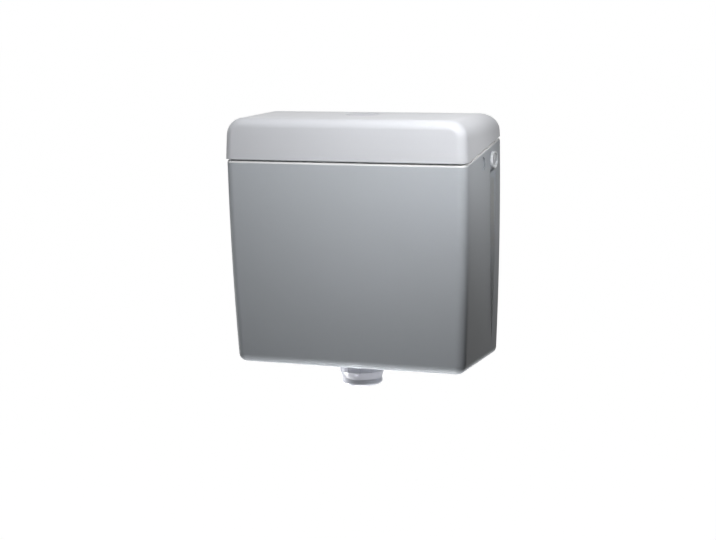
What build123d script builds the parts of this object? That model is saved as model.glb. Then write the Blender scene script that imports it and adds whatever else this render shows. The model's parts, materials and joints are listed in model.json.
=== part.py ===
from build123d import *
import math
import os

os.makedirs("parts", exist_ok=True)

# The cistern hangs on a wall. X runs to the right, +Y into the wall, whose face is y = 0, and +Z up.
# The origin lies between the two fixing holes. Heights are told from the rim, the line between lid and tank
# along the front, and depths from the wall.

# Tank shell
tank_width = 380.0
tank_depth = 164.7
tank_height = 309.0
side_draw_in = 9.1
front_draw_in = 3.0
lean_share = 0.09
bow_top = 0.7
bow_foot = 2.2
corner_radius = 14.0
foot_radius = 13.0
tank_wall = 3.0
cut_over = 20.0
section_shares = (-0.2, 0.15, 0.45, 0.75, 1.0)

# Rim between tank and lid
rim_above_fixings = 8.0
rim_rise = 24.8
rim_kink_depth = 161.0
rim_kink_radius = 60.0
lid_gap = 2.5
shoulder_radius = 4.2
upstand_inset = 4.6
upstand_wall = 2.4
upstand_height = 9.0
rim_band_height = 9.0

# Lid
lid_height = 62.5
lid_proud = 1.5
lid_wall_gap = 0.5
lid_side_draft = 2.9
lid_front_draft = 3.0
lid_front_radius = 14.0
lid_end_radius = 27.0
lid_rear_radius = 29.0
lid_wall = 3.0
lid_rib_thickness = 2.4
lid_rib_height = 16.0
lid_rib_depth = 7.5
lid_rib_spacing = 90.0
lid_seat_gap = 0.25

# Wall fixings
fixing_spacing = 250.0
fixing_hole_radius = 3.5
fixing_pad_radius = 10.0
fixing_pad_thickness = 2.5

# Pipe channels at the rear of both sides
channel_front_depth = 50.5
channel_mid_depth = 40.0
channel_deep_depth = 27.0
channel_rear_depth = 22.0
channel_cut = 7.7
channel_mid_share = 0.6
channel_top_drop = 19.0

# Side holes: water inlet, and a round recess to be cut out for a side overflow
inlet_depth = 38.0
inlet_drop = 5.5
inlet_hole_radius = 8.7
seat_face_margin = 2.0
seat_face_cut = 1.0
recess_depth = 83.0
recess_drop = 7.0
recess_radius = 10.0
recess_cut = 2.2

# Flush outlet
outlet_depth = 100.0
shank_radius = 28.0
shank_length = 27.0
floor_hole_clearance = 0.6
thread_clearance = 0.15
pipe_bore_radius = 25.4
pipe_stop_radius = 23.5
pipe_stop_height = 5.0
gasket_thickness = 3.0
gasket_radius = 43.0
base_flange_radius = 44.0
base_flange_thickness = 5.0
seat_height = 12.0
seat_wall = 3.0
backnut_height = 12.3
backnut_radius = 34.4
backnut_flute_count = 12
backnut_flute_radius = 1.6
connector_drop = 34.0
connector_top_radius = 34.0
connector_taper_height = 11.0
connector_nose_radius = 30.75
connector_nose_round = 4.5
connector_lip = 3.0
connector_backnut_gap = 0.3

# Cage and tower of the flush valve
cage_inner_radius = 36.0
cage_outer_radius = 41.0
cage_post_width = 8.0
cage_post_count = 4
cage_height = 44.0
cage_ring_height = 4.0
tower_ring_height = 5.0
plate_drop = 68.0
plate_thickness = 4.0
running_clearance = 0.05

# Overflow tube, the piece that lifts
tube_radius = 15.0
tube_bore_radius = 12.5
tube_top_drop = 38.0
tube_foot_radius = 30.0
tube_foot_thickness = 3.0
collar_radius = 22.0
collar_thickness = 3.0
collar_rear_reach = 16.0
seal_radius = 29.0
seal_thickness = 3.0
retainer_radius = 21.5
retainer_thickness = 2.0
retainer_sleeve_length = 18.0
retainer_sleeve_wall = 1.9
float_ring_radius = 33.0
float_ring_height = 36.0
float_ring_round = 5.0
float_ring_above_seat = 90.0
rest_gap = 0.3

# Rocker between push rod and overflow tube
pivot_drop = 50.0
rocker_arm = 21.5
rocker_nose_radius = 3.0
rocker_prong_width = 4.0
rocker_prong_clearance = 1.6
rocker_hub_radius = 4.5
rocker_rear_width = 10.0
rocker_pin_radius = 2.0
rocker_pin_head_radius = 3.4
rocker_pin_head = 1.4
ear_clearance = 0.6
ear_thickness = 3.6
ear_reach = 5.0
ear_width = 10.0

# Push button in the lid
button_depth = 75.0
button_radius = 26.0
button_travel = 8.0
button_top_thickness = 2.5
button_skirt_height = 12.0
button_skirt_wall = 2.0
button_below_lid_top = 0.4
button_edge_round = 0.8
button_stem_radius = 5.0
button_stem_length = 26.0
button_boss_radius = 4.4
button_boss_height = 8.0
housing_wall = 2.4
housing_depth = 26.0
housing_floor = 2.5
bezel_radius = 31.5
bezel_thickness = 1.4
housing_nut_radius = 35.0
housing_nut_height = 5.0
housing_nut_lugs = 8
push_rod_radius = 3.0
push_rod_into_boss = 6.0
rod_nut_across = 10.0
rod_nut_height = 3.0
rod_hole_clearance = 0.8

# Return spring
spring_wire_radius = 0.5
spring_coil_radius = 8.0
spring_turns = 6
quarters_in_turn = 4
spring_samples_in_quarter = 12

# Fill valve on the left side
tail_radius = 8.3
tail_thread_depth = 0.4
tail_bore_radius = 5.5
tail_length = 22.0
inlet_washer_thickness = 2.0
inlet_flange_radius = 11.5
inlet_flange_thickness = 3.0
valve_body_radius = 11.0
valve_body_length = 33.0
inlet_nut_across = 23.0
inlet_nut_height = 6.0
valve_cavity_radius = 7.5
valve_cavity_length = 25.0
valve_wall_thickness = 2.0
nozzle_bore_radius = 2.0
nozzle_radius = 4.0
nozzle_length = 2.0
filter_length = 12.0
filter_wall = 0.8
filter_slots = 4
filter_slot_width = 1.6
stub_radius = 6.3
stub_length = 5.0
spigot_radius = 5.0
spigot_bore_radius = 3.8
spigot_length = 10.0
stub_from_cavity_end = 6.6
fill_tube_wall = 1.5
fill_tube_above_floor = 17.0
piston_radius = 4.0
piston_head_radius = 5.5
piston_head_length = 3.0
piston_washer_thickness = 2.0
cap_skirt_radius = 13.2
cap_skirt_length = 10.0
cap_neck_radius = 9.0
cap_neck_length = 14.0
cap_end_wall = 1.2
cap_rib_count = 12
cap_rib_radius = 0.9

# Float arm
arm_swing = 35.0
arm_heel_length = 9.0
arm_heel_radius = 2.5
arm_axis_drop = 8.8
arm_hub_radius = 4.0
arm_hub_width = 9.4
arm_pin_radius = 1.6
arm_pin_head_radius = 2.8
arm_pin_head = 1.2
arm_reach = 70.0
arm_bar_height = 6.0
arm_bar_width = 5.0
arm_eye_radius = 5.0
arm_eye_height = 8.0
arm_ear_thickness = 3.0
arm_ear_radius = 5.0
arm_ear_gap = 0.2
float_rod_radius = 2.5
float_rod_above = 12.0
float_rod_below = 50.0
float_nut_across = 9.0
float_nut_height = 3.0
float_radius = 22.0
float_height = 46.0
float_drop = 28.0
float_round = 6.0
float_tube_radius = 4.5

# Blanking cap on the right side
blank_head_radius = 13.0
blank_head_height = 4.6
blank_head_round = 1.0
blank_head_gap = 0.2
blank_dish_radius = 10.4
blank_dish_depth = 2.2
blank_grip_width = 2.4
blank_washer_thickness = 1.2
blank_washer_inset = 1.8
blank_nut_across = 21.4
blank_stem_clearance = 0.3
blank_stem_wall = 2.2
blank_stem_length = 14.0
blank_nut_height = 5.0

# Places worked out from the sizes above
half_width = tank_width / 2
rim_z = rim_above_fixings
floor_top = rim_z - tank_height + tank_wall
underside = rim_z - tank_height
lid_top = rim_z + lid_height
rim_slope = rim_rise / rim_kink_depth
inlet_z = rim_z - inlet_drop
recess_z = rim_z - recess_drop
wall_inside_x = half_width - tank_wall
pivot_z = rim_z - pivot_drop
pivot_y = -outlet_depth + rocker_arm
rod_y = pivot_y + rocker_arm
rocker_swing = math.degrees(math.asin(button_travel / rocker_arm))
base_top = floor_top + gasket_thickness
seat_top = floor_top + seat_height
nozzle_x = -wall_inside_x + inlet_washer_thickness + valve_body_length - valve_cavity_length + nozzle_length
piston_travel = 2 * arm_heel_length * math.sin(math.radians(arm_swing / 2))


def rod_x(radius, start, end, y, z):
    """A round bar along X."""
    return Pos((start + end) / 2, y, z) * Rot(0, 90, 0) * Cylinder(radius, end - start)


def rod_y_axis(radius, start, end, x, z):
    """A round bar along Y."""
    return Pos(x, (start + end) / 2, z) * Rot(90, 0, 0) * Cylinder(radius, end - start)


def rod_z(radius, start, end, x=0, y=0):
    """A round bar along Z."""
    return Pos(x, y, (start + end) / 2) * Cylinder(radius, end - start)


def block(x_range, y_range, z_range):
    """A rectangular block between three pairs of coordinates."""
    sizes = [high - low for low, high in (x_range, y_range, z_range)]
    middle = [(high + low) / 2 for low, high in (x_range, y_range, z_range)]
    return Pos(*middle) * Box(*sizes)


def turned(points):
    """A solid of revolution about Z from its half outline in radius and height."""
    return revolve(Plane.XZ * make_face(Polyline(*points, close=True)), Axis.Z)


def hex_nut(across, height, bore):
    """A hexagon nut standing on z = 0."""
    body = extrude(RegularPolygon(across / 2, 6, major_radius=False, rotation=30), height)
    return body - rod_z(bore, -height, 2 * height)


def turn_about_z(shape, count, first=0.0):
    """Copies of a shape spaced evenly about Z."""
    return [Rot(0, 0, first + 360 * number / count) * shape for number in range(count)]


def plan_face(half, front, rear, bow, corner, height):
    """A level section of a shell: straight behind, slightly bowed in front."""
    sides = [
        Line((-half, -rear), (-half, -front)),
        ThreePointArc((-half, -front), (0, -front - bow), (half, -front)),
        Line((half, -front), (half, -rear)),
        Line((half, -rear), (-half, -rear)),
    ]
    outline = make_face(sides)
    outline = fillet(outline.vertices().sort_by(Axis.Y)[:2], corner)
    return Plane.XY.offset(height) * outline


def tank_form(inset, rear, floor, foot_round=0.0):
    """The tank's closed form, drawn in towards its foot, inset by a wall and raised by a floor.

    Its foot is rounded in front and at the sides, and its rear is one flat face.
    """
    faces = []
    for share in section_shares:
        below = share * (tank_height - floor)
        fall = below / tank_height
        drawn = fall * (lean_share + (1 - lean_share) * fall)
        faces.append(
            plan_face(
                half_width - side_draw_in * drawn - inset,
                tank_depth - front_draw_in * drawn - inset,
                -cut_over,
                bow_top + (bow_foot - bow_top) * fall,
                corner_radius - inset,
                rim_z - below,
            )
        )
    form = loft(faces)
    if foot_round:
        foot_edges = form.faces().sort_by(Axis.Z)[0].edges()
        form = fillet([edge for edge in foot_edges if edge.center().Y < 0], foot_round)
    behind = block((-tank_width, tank_width), (-rear, 2 * cut_over), (-2 * tank_height, 2 * tank_height))
    return form - behind


def rim_band(low, high):
    """The space between two copies of the rim line, level in front and rising towards the wall."""
    reach = tank_depth + cut_over
    rise = rim_rise + rim_slope * cut_over
    line = FilletPolyline(
        (-reach, rim_z + low),
        (-rim_kink_depth, rim_z + low),
        (cut_over, rim_z + low + rise),
        radius=rim_kink_radius,
    )
    top = FilletPolyline(
        (-reach, rim_z + high),
        (-rim_kink_depth, rim_z + high),
        (cut_over, rim_z + high + rise),
        radius=rim_kink_radius,
    )
    front = Line((-reach, rim_z + low), (-reach, rim_z + high))
    rear = Line((cut_over, rim_z + low + rise), (cut_over, rim_z + high + rise))
    face = Plane.YZ * make_face([*line.edges(), *top.edges(), front, rear])
    return extrude(face, half_width + cut_over, both=True)


def channel(grow):
    """The pipe channel of the right side, grown by a wall for the inside of the tank."""
    floor_x = half_width - channel_cut
    mid_x = half_width - channel_mid_share * channel_cut
    outer_x = half_width + cut_over
    outline = [
        ThreePointArc(
            (half_width, -channel_front_depth), (mid_x, -channel_mid_depth), (floor_x, -channel_deep_depth)
        ),
        Line((floor_x, -channel_deep_depth), (half_width, -channel_rear_depth)),
        Line((half_width, -channel_rear_depth), (outer_x, -channel_rear_depth)),
        Line((outer_x, -channel_rear_depth), (outer_x, -channel_front_depth)),
        Line((outer_x, -channel_front_depth), (half_width, -channel_front_depth)),
    ]
    plan = make_face(outline)
    if grow:
        plan = offset(plan, grow)
    top = rim_z - channel_top_drop
    solid = extrude(Plane.XY.offset(underside - cut_over) * plan, top + 2 * cut_over - underside)
    slope_x = half_width - grow
    slope_top = top + grow * (math.sqrt(2) - 1)
    slope = make_face(
        Polyline(
            (slope_x - cut_over, slope_top - cut_over),
            (slope_x + 2 * cut_over, slope_top + 2 * cut_over),
            (slope_x - cut_over, slope_top + 2 * cut_over),
            close=True,
        )
    )
    return solid - extrude(Plane.XZ * slope, tank_depth)


def both_sides(shape):
    """A shape and its mirror image on the other side."""
    return [shape, mirror(shape, about=Plane.YZ)]


def tank_body():
    """The tank shell with its rim, channels, recesses and holes."""
    outer = tank_form(0, 0, 0, foot_radius)
    inner = tank_form(tank_wall, tank_wall, tank_wall, foot_radius - tank_wall)
    rim_inset = upstand_inset + upstand_wall
    rim_inner = tank_form(rim_inset, rim_inset, 0)
    upstand_outer = tank_form(upstand_inset, upstand_inset, 0)
    for cut in both_sides(channel(0)):
        outer -= cut
    for cut in both_sides(channel(tank_wall)):
        inner -= cut
    top_cut = rim_band(-lid_gap / 2, tank_height)
    thick_band = rim_band(-lid_gap / 2 - rim_band_height, tank_height)
    cavity = (inner - thick_band) + (rim_inner & rim_band(-lid_gap / 2 - 2 * rim_band_height, tank_height))
    body = outer - top_cut
    shoulder = [
        edge
        for edge in body.edges()
        if edge.center().Z > rim_z - lid_gap and edge.center().Y < -lid_gap
    ]
    body = fillet(shoulder, shoulder_radius)
    upstand = upstand_outer & rim_band(-lid_gap, upstand_height)
    body = body + upstand - cavity
    for number in (-1, 1):
        x = number * fixing_spacing / 2
        body += rod_y_axis(fixing_pad_radius, -tank_wall - fixing_pad_thickness, -tank_wall / 2, x, 0)
        body -= rod_y_axis(fixing_hole_radius, -cut_over, cut_over, x, 0)
        side = number * half_width
        body -= rod_x(inlet_hole_radius, side - cut_over, side + cut_over, -inlet_depth, inlet_z)
        face_radius = inlet_flange_radius + seat_face_margin
        outside = sorted((side, side + number * seat_face_cut))
        inside = sorted((side - number * tank_wall, side - number * (tank_wall + seat_face_cut)))
        for x_range in (outside, inside):
            body -= rod_x(face_radius, *x_range, -inlet_depth, inlet_z)
        body -= rod_x(recess_radius, side - recess_cut, side + recess_cut, -recess_depth, recess_z)
    hole = shank_radius + floor_hole_clearance
    return body - rod_z(hole, underside - cut_over, floor_top + cut_over, 0, -outlet_depth)


def lid_form(inset, rear):
    """The lid's closed form, inset by a wall, with drafted sides.

    Its top is rounded widely at the ends and the rear. The front has one narrower rounding, up its two
    corners and along the top.
    """
    top = lid_height - inset
    faces = []
    for height in (-cut_over, top):
        share = height / lid_height
        half = half_width + lid_proud - lid_side_draft * share - inset
        front = tank_depth + lid_proud - lid_front_draft * share - inset
        back = lid_wall_gap + rear
        sides = [
            Line((-half, -back), (-half, -front)),
            ThreePointArc((-half, -front), (0, -front - bow_top), (half, -front)),
            Line((half, -front), (half, -back)),
            Line((half, -back), (-half, -back)),
        ]
        faces.append(Plane.XY.offset(rim_z + height) * make_face(sides))
    form = loft(faces, ruled=True)
    ends = form.faces().sort_by(Axis.Z)[-1].edges().sort_by(Axis.X)
    form = fillet([ends[0], ends[-1]], lid_end_radius - inset)
    front_edges = form.faces().sort_by(Axis.Y)[0].edges()
    outline = [edge for edge in front_edges if edge.center().Z > rim_z - cut_over / 2]
    form = fillet(outline, lid_front_radius - inset)
    radius = lid_rear_radius - inset
    centre_y = -lid_wall_gap - rear - radius
    centre_z = rim_z + top - radius
    behind = block((-tank_width, tank_width), (centre_y, cut_over), (centre_z, centre_z + 2 * radius))
    behind -= rod_x(radius, -tank_width - cut_over, tank_width + cut_over, centre_y, centre_z)
    return form - behind


def lid():
    """The lid: a drafted shell with ribs that rest on the tank's upstand and a recess for the button."""
    outer = lid_form(0, 0)
    inner = lid_form(lid_wall, lid_wall)
    below = rim_band(-tank_height, lid_gap / 2)
    shell = outer - inner
    ribs = rim_band(upstand_height + lid_seat_gap, upstand_height + lid_seat_gap + lid_rib_height)
    front = tank_depth
    for number in (-3, -1, 1, 3):
        x = number * lid_rib_spacing / 2
        x_range = (x - lid_rib_thickness / 2, x + lid_rib_thickness / 2)
        slices = block(x_range, (-front, -front + lid_rib_depth + upstand_inset), (0, lid_top))
        slices += block(x_range, (-lid_rib_depth - upstand_inset, -lid_wall), (0, lid_top))
        shell += slices & ribs & outer
    for number in (-1, 1):
        side = number * (half_width - lid_wall / 2)
        inside = number * (half_width - upstand_inset - lid_rib_depth)
        y = -tank_depth / 2
        y_range = (y - lid_rib_thickness / 2, y + lid_rib_thickness / 2)
        shell += block(sorted((side, inside)), y_range, (0, lid_top)) & ribs & outer
    shell -= below
    shell -= rod_z(housing_radius() + lid_seat_gap, 0, 2 * lid_top, 0, -button_depth)
    bezel_seat = lid_top - bezel_thickness
    return shell - rod_z(bezel_radius + lid_seat_gap, bezel_seat, 2 * lid_top, 0, -button_depth)


def at_outlet(shape):
    """Moves a shape made about Z to the flush valve's axis."""
    return Pos(0, -outlet_depth, 0) * shape


def base_gasket():
    """Flat rubber ring between the flush valve base and the floor."""
    ring = rod_z(gasket_radius, floor_top, base_top)
    return at_outlet(ring - rod_z(shank_radius + thread_clearance, underside, rim_z))


def flush_valve_base():
    """Shank, flange, raised seat and cage posts in one moulding."""
    shank_end = underside - shank_length
    flange_top = base_top + base_flange_thickness
    shape = turned(
        [
            (pipe_bore_radius, shank_end),
            (shank_radius, shank_end),
            (shank_radius, base_top),
            (base_flange_radius, base_top),
            (base_flange_radius, flange_top),
            (pipe_stop_radius + seat_wall + base_flange_thickness, flange_top),
            (pipe_stop_radius + seat_wall, seat_top),
            (pipe_stop_radius, seat_top),
            (pipe_stop_radius, base_top - pipe_stop_height),
            (pipe_bore_radius, base_top - pipe_stop_height),
        ]
    )
    cage_top = floor_top + cage_height
    post = block(
        (cage_inner_radius, cage_outer_radius),
        (-cage_post_width / 2, cage_post_width / 2),
        (flange_top - base_flange_thickness / 2, cage_top),
    )
    for copy in turn_about_z(post, cage_post_count, 360 / cage_post_count / 2):
        shape += copy
    ring = rod_z(cage_outer_radius, cage_top - cage_ring_height, cage_top)
    ring -= rod_z(cage_inner_radius, underside, rim_z)
    return at_outlet(shape + ring)


def outlet_backnut():
    """Ribbed ring nut under the floor."""
    low = underside - backnut_height
    bore = shank_radius + thread_clearance
    nut = rod_z(backnut_radius, low, underside) - rod_z(bore, low - cut_over, rim_z)
    flute_x = backnut_radius + backnut_flute_radius / 2
    flute = rod_z(backnut_flute_radius, low - cut_over, underside - backnut_height / 3, flute_x)
    for copy in turn_about_z(flute, backnut_flute_count, 360 / backnut_flute_count / 2):
        nut -= copy
    return at_outlet(nut)


def connector_end():
    """Height of the connector's lower end."""
    return underside - connector_drop


def flush_pipe_connector():
    """Tapering union nut that holds the flush pipe."""
    top = underside - backnut_height - connector_backnut_gap
    end = connector_end()
    shape = turned(
        [
            (shank_radius + thread_clearance, top),
            (connector_top_radius, top),
            (connector_nose_radius, top - connector_taper_height),
            (connector_nose_radius, end),
            (pipe_bore_radius, end),
            (pipe_bore_radius, end + connector_lip),
            (shank_radius + thread_clearance, end + connector_lip),
        ]
    )
    rim = [edge for edge in shape.edges() if edge.center().Z < end + connector_lip / 4]
    outer_rim = sorted(rim, key=lambda edge: edge.radius)[-1:]
    return at_outlet(fillet(outer_rim, connector_nose_round))


def flush_pipe_seal():
    """Rubber ring between shank and connector lip."""
    low = connector_end() + connector_lip
    high = underside - shank_length
    ring = rod_z(shank_radius, low, high)
    return at_outlet(ring - rod_z(pipe_bore_radius, low - cut_over, high + cut_over))


def valve_tower():
    """Ring, bars and guide plate with the rocker's two ears."""
    low = floor_top + cage_height
    plate_top = rim_z - plate_drop + plate_thickness
    shape = rod_z(cage_outer_radius, low, low + tower_ring_height)
    shape -= rod_z(cage_inner_radius, underside, rim_z)
    bar = block(
        (cage_inner_radius, cage_outer_radius),
        (-cage_post_width / 2, cage_post_width / 2),
        (low + tower_ring_height / 2, plate_top - plate_thickness / 2),
    )
    for copy in turn_about_z(bar, cage_post_count, 360 / cage_post_count / 2):
        shape += copy
    shape += rod_z(cage_outer_radius, plate_top - plate_thickness, plate_top)
    shape -= rod_z(tube_radius + running_clearance, underside, lid_top)
    shape = at_outlet(shape)
    for number in (-1, 1):
        near = number * (prong_outside() + ear_clearance)
        far = number * (prong_outside() + ear_clearance + ear_thickness)
        x_range = sorted((near, far))
        y_range = (pivot_y - ear_width / 2, pivot_y + ear_width / 2)
        ear = block(x_range, y_range, (plate_top - plate_thickness / 2, pivot_z))
        ear += rod_x(ear_reach, *x_range, pivot_y, pivot_z)
        shape += ear
    bore = prong_outside() + cut_over
    return shape - rod_x(rocker_pin_radius + running_clearance, -bore, bore, pivot_y, pivot_z)


def prong_outside():
    """Half the width of the rocker over its two prongs."""
    return tube_radius + rocker_prong_clearance + rocker_prong_width


def lift_rocker():
    """Rocker: the rear arm goes down with the push rod and the two prongs lift the tube's collar."""
    half = prong_outside()
    shape = rod_x(rocker_hub_radius, -half, half, pivot_y, pivot_z)
    z_range = (pivot_z - rocker_nose_radius, pivot_z + rocker_nose_radius)
    for number in (-1, 1):
        x_range = sorted((number * half, number * (half - rocker_prong_width)))
        shape += block(x_range, (-outlet_depth, pivot_y), z_range)
        shape += rod_x(rocker_nose_radius, *x_range, -outlet_depth, pivot_z)
    rear = (-rocker_rear_width / 2, rocker_rear_width / 2)
    shape += block(rear, (pivot_y, rod_y), z_range)
    shape += rod_x(rocker_nose_radius, *rear, rod_y, pivot_z)
    reach = half + cut_over
    return shape - rod_x(rocker_pin_radius + running_clearance, -reach, reach, pivot_y, pivot_z)


def rocker_pin():
    """Pin through the ears and the rocker, with a head at one end."""
    outside = prong_outside() + ear_clearance + ear_thickness
    pin = rod_x(rocker_pin_radius, -outside - rocker_pin_head, outside + rocker_pin_head, pivot_y, pivot_z)
    return pin + rod_x(rocker_pin_head_radius, outside, outside + rocker_pin_head, pivot_y, pivot_z)


def overflow_tube():
    """Overflow tube with its foot flange and lifting collar."""
    foot = seat_top + rest_gap + seal_thickness
    top = rim_z - tube_top_drop
    collar = pivot_z + rocker_nose_radius + rest_gap
    shape = rod_z(tube_radius, foot, top)
    shape += rod_z(tube_foot_radius, foot, foot + tube_foot_thickness)
    ring = rod_z(collar_radius, collar, collar + collar_thickness)
    z_range = (collar, collar + collar_thickness)
    shape += ring - block((-tank_width, tank_width), (collar_rear_reach, tank_depth), z_range)
    return at_outlet(shape - rod_z(tube_bore_radius, underside, lid_top))


def valve_seal():
    """Rubber ring that closes on the seat."""
    low = seat_top + rest_gap
    ring = rod_z(seal_radius, low, low + seal_thickness)
    return at_outlet(ring - rod_z(tube_bore_radius, underside, rim_z))


def seal_retainer():
    """Flanged bush that holds the seal from below."""
    high = seat_top + rest_gap
    sleeve = tube_bore_radius - thread_clearance
    shape = rod_z(retainer_radius, high - retainer_thickness, high)
    shape += rod_z(sleeve, high - retainer_thickness, high + retainer_sleeve_length)
    return at_outlet(shape - rod_z(sleeve - retainer_sleeve_wall, underside, rim_z))


def valve_float():
    """Hollow-looking ring float round the overflow tube."""
    low = seat_top + float_ring_above_seat
    ring = rod_z(float_ring_radius, low, low + float_ring_height)
    ring = fillet(ring.edges().filter_by(GeomType.CIRCLE), float_ring_round)
    return at_outlet(ring - rod_z(tube_radius + thread_clearance, underside, rim_z))


def at_button(shape):
    """Moves a shape made about Z to the button's axis."""
    return Pos(0, -button_depth, 0) * shape


def housing_radius():
    """Outer radius of the button housing."""
    return button_radius + running_clearance + housing_wall


def rod_offset():
    """Distance from the button's axis to the push rod."""
    return rod_y + button_depth


def button_housing():
    """Cup with a flush bezel, a spring seat and guides for stem and rod."""
    low = lid_top - housing_depth
    shape = rod_z(housing_radius(), low, lid_top) + rod_z(bezel_radius, lid_top - bezel_thickness, lid_top)
    shape -= rod_z(button_radius + running_clearance, low + housing_floor, 2 * lid_top)
    shape -= rod_z(button_stem_radius + running_clearance, 0, lid_top)
    shape -= rod_z(push_rod_radius + rod_hole_clearance, 0, lid_top, 0, rod_offset())
    return at_button(shape)


def housing_nut():
    """Ring nut that clamps the housing from inside the lid."""
    high = lid_top - lid_wall
    nut = rod_z(housing_nut_radius, high - housing_nut_height, high)
    lug = rod_z(housing_nut_height / 2, high - housing_nut_height, high, housing_nut_radius)
    for copy in turn_about_z(lug, housing_nut_lugs):
        nut += copy
    return at_button(nut - rod_z(housing_radius() + thread_clearance, 0, lid_top))


def flush_button():
    """Round button with a skirt, a guide stem and a boss for the push rod."""
    top = lid_top - button_below_lid_top
    under = top - button_top_thickness
    shape = rod_z(button_radius, top - button_skirt_height, top)
    shape = fillet([shape.edges().filter_by(GeomType.CIRCLE).sort_by(Axis.Z)[-1]], button_edge_round)
    shape -= rod_z(button_radius - button_skirt_wall, top - 2 * button_skirt_height, under)
    shape += rod_z(button_stem_radius, under - button_stem_length, under)
    boss = rod_z(button_boss_radius, under - button_boss_height, under, 0, rod_offset())
    shape += boss
    bore = push_rod_radius + running_clearance
    bore_end = under - button_boss_height + push_rod_into_boss
    return at_button(shape - rod_z(bore, under - 2 * button_boss_height, bore_end, 0, rod_offset()))


def push_rod():
    """Straight rod from the button down to the rocker, with a round lower end."""
    boss_end = lid_top - button_below_lid_top - button_top_thickness - button_boss_height
    low = pivot_z + rocker_nose_radius + rest_gap
    rod = rod_z(push_rod_radius, low + push_rod_radius, boss_end + push_rod_into_boss)
    return Pos(0, rod_y, 0) * (rod + Pos(0, 0, low + push_rod_radius) * Sphere(push_rod_radius))


def rod_lock_nut():
    """Hexagon nut that locks the rod under its boss."""
    boss_end = lid_top - button_below_lid_top - button_top_thickness - button_boss_height
    nut = hex_nut(rod_nut_across, rod_nut_height, push_rod_radius + running_clearance)
    return Pos(0, rod_y, boss_end - rod_nut_height) * nut


def biarc(start, start_way, end, end_way):
    """Two tangent arcs between two points with given directions."""
    chord = end - start
    quadratic = 2 * start_way.dot(end_way) - 2
    linear = -2 * chord.dot(start_way + end_way)
    constant = chord.dot(chord)
    reach = (-linear - math.sqrt(linear * linear - 4 * quadratic * constant)) / (2 * quadratic)
    first = start + start_way * reach
    second = end - end_way * reach
    joint = (first + second) / 2
    return [
        TangentArc(start, joint, tangent=start_way),
        TangentArc(joint, end, tangent=second - first),
    ]


def button_spring():
    """Helical return spring between the housing's floor and the button."""
    low = lid_top - housing_depth + housing_floor + spring_wire_radius + rest_gap
    high = lid_top - button_below_lid_top - button_top_thickness - spring_wire_radius - rest_gap
    steps = spring_turns * quarters_in_turn
    climb = (high - low) / steps
    places = []
    ways = []
    for step in range(steps + 1):
        angle = 2 * math.pi * step / quarters_in_turn
        across = spring_coil_radius * math.cos(angle)
        along = spring_coil_radius * math.sin(angle)
        places.append(Vector(across, along, low + climb * step))
        quarter_arc = spring_coil_radius * math.pi / 2
        ways.append(
            Vector(-quarter_arc * math.sin(angle), quarter_arc * math.cos(angle), climb).normalized()
        )
    edges = []
    for step in range(steps):
        edges.extend(biarc(places[step], ways[step], places[step + 1], ways[step + 1]))
    path = Wire([edge for piece in edges for edge in piece.edges()])
    section = Plane(origin=places[0], z_dir=ways[0]) * Circle(spring_wire_radius)
    wire = sweep(section, path=path)
    count = steps * spring_samples_in_quarter
    samples = [path.position_at(number / count) for number in range(count + 1)]
    apart = 2 * spring_samples_in_quarter
    least = min(
        (samples[one] - samples[other]).length
        for one in range(len(samples))
        for other in range(one + apart, len(samples))
    )
    print("spring: least gap to itself", round(least - 2 * spring_wire_radius, 2), "mm")
    return at_button(wire)


def at_inlet(shape):
    """Moves a shape made about X to the inlet's axis."""
    return Pos(0, -inlet_depth, inlet_z) * shape


def fill_valve_body():
    """Threaded tail, flange and valve chamber with its nozzle and outlet stub."""
    flange = -wall_inside_x + inlet_washer_thickness
    end = flange + valve_body_length
    cavity = end - valve_cavity_length
    stub_x = cavity + stub_from_cavity_end
    nut_face = -half_width - inlet_nut_height
    shape = rod_x(tail_radius, -half_width - tail_length, nut_face, 0, 0)
    shape += rod_x(tail_radius - tail_thread_depth, nut_face, flange, 0, 0)
    shape += rod_x(inlet_flange_radius, flange, flange + inlet_flange_thickness, 0, 0)
    shape += rod_x(valve_body_radius, flange, end, 0, 0)
    stub_low = -valve_body_radius - stub_length
    shape += rod_z(stub_radius, stub_low, 0, stub_x)
    shape += rod_z(spigot_radius, stub_low - spigot_length, 0, stub_x)
    shape -= rod_x(valve_cavity_radius, cavity, end + cut_over, 0, 0)
    bore_end = cavity - valve_wall_thickness
    shape -= rod_x(tail_bore_radius, -half_width - tail_length - cut_over, bore_end, 0, 0)
    shape += rod_x(nozzle_radius, cavity - valve_wall_thickness / 2, nozzle_x, 0, 0)
    shape -= rod_x(nozzle_bore_radius, cavity - 2 * valve_wall_thickness, nozzle_x + cut_over, 0, 0)
    shape -= rod_z(spigot_bore_radius, stub_low - 2 * spigot_length, -valve_cavity_radius / 2, stub_x)
    return at_inlet(shape)


def inlet_washer():
    """Rubber washer between the valve flange and the tank wall."""
    ring = rod_x(inlet_flange_radius, -wall_inside_x, -wall_inside_x + inlet_washer_thickness, 0, 0)
    return at_inlet(ring - rod_x(tail_radius + thread_clearance, -tank_width, 0, 0, 0))


def inlet_backnut():
    """Hexagon nut on the tail, outside the tank."""
    bore = tail_radius - tail_thread_depth + thread_clearance
    nut = hex_nut(inlet_nut_across, inlet_nut_height, bore)
    return at_inlet(Pos(-half_width, 0, 0) * Rot(0, -90, 0) * nut)


def inlet_filter():
    """Slotted cup in the tail."""
    start = -half_width - tail_length
    outer = tail_bore_radius - thread_clearance
    cup = rod_x(outer, start, start + filter_length, 0, 0)
    cup -= rod_x(outer - filter_wall, start - cut_over, start + filter_length - filter_wall, 0, 0)
    slot = block(
        (start + 2 * filter_wall, start + filter_length - 2 * filter_wall),
        (0, 2 * outer),
        (-filter_slot_width / 2, filter_slot_width / 2),
    )
    for number in range(filter_slots):
        cup -= Rot(360 * number / filter_slots, 0, 0) * slot
    return at_inlet(cup)


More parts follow.
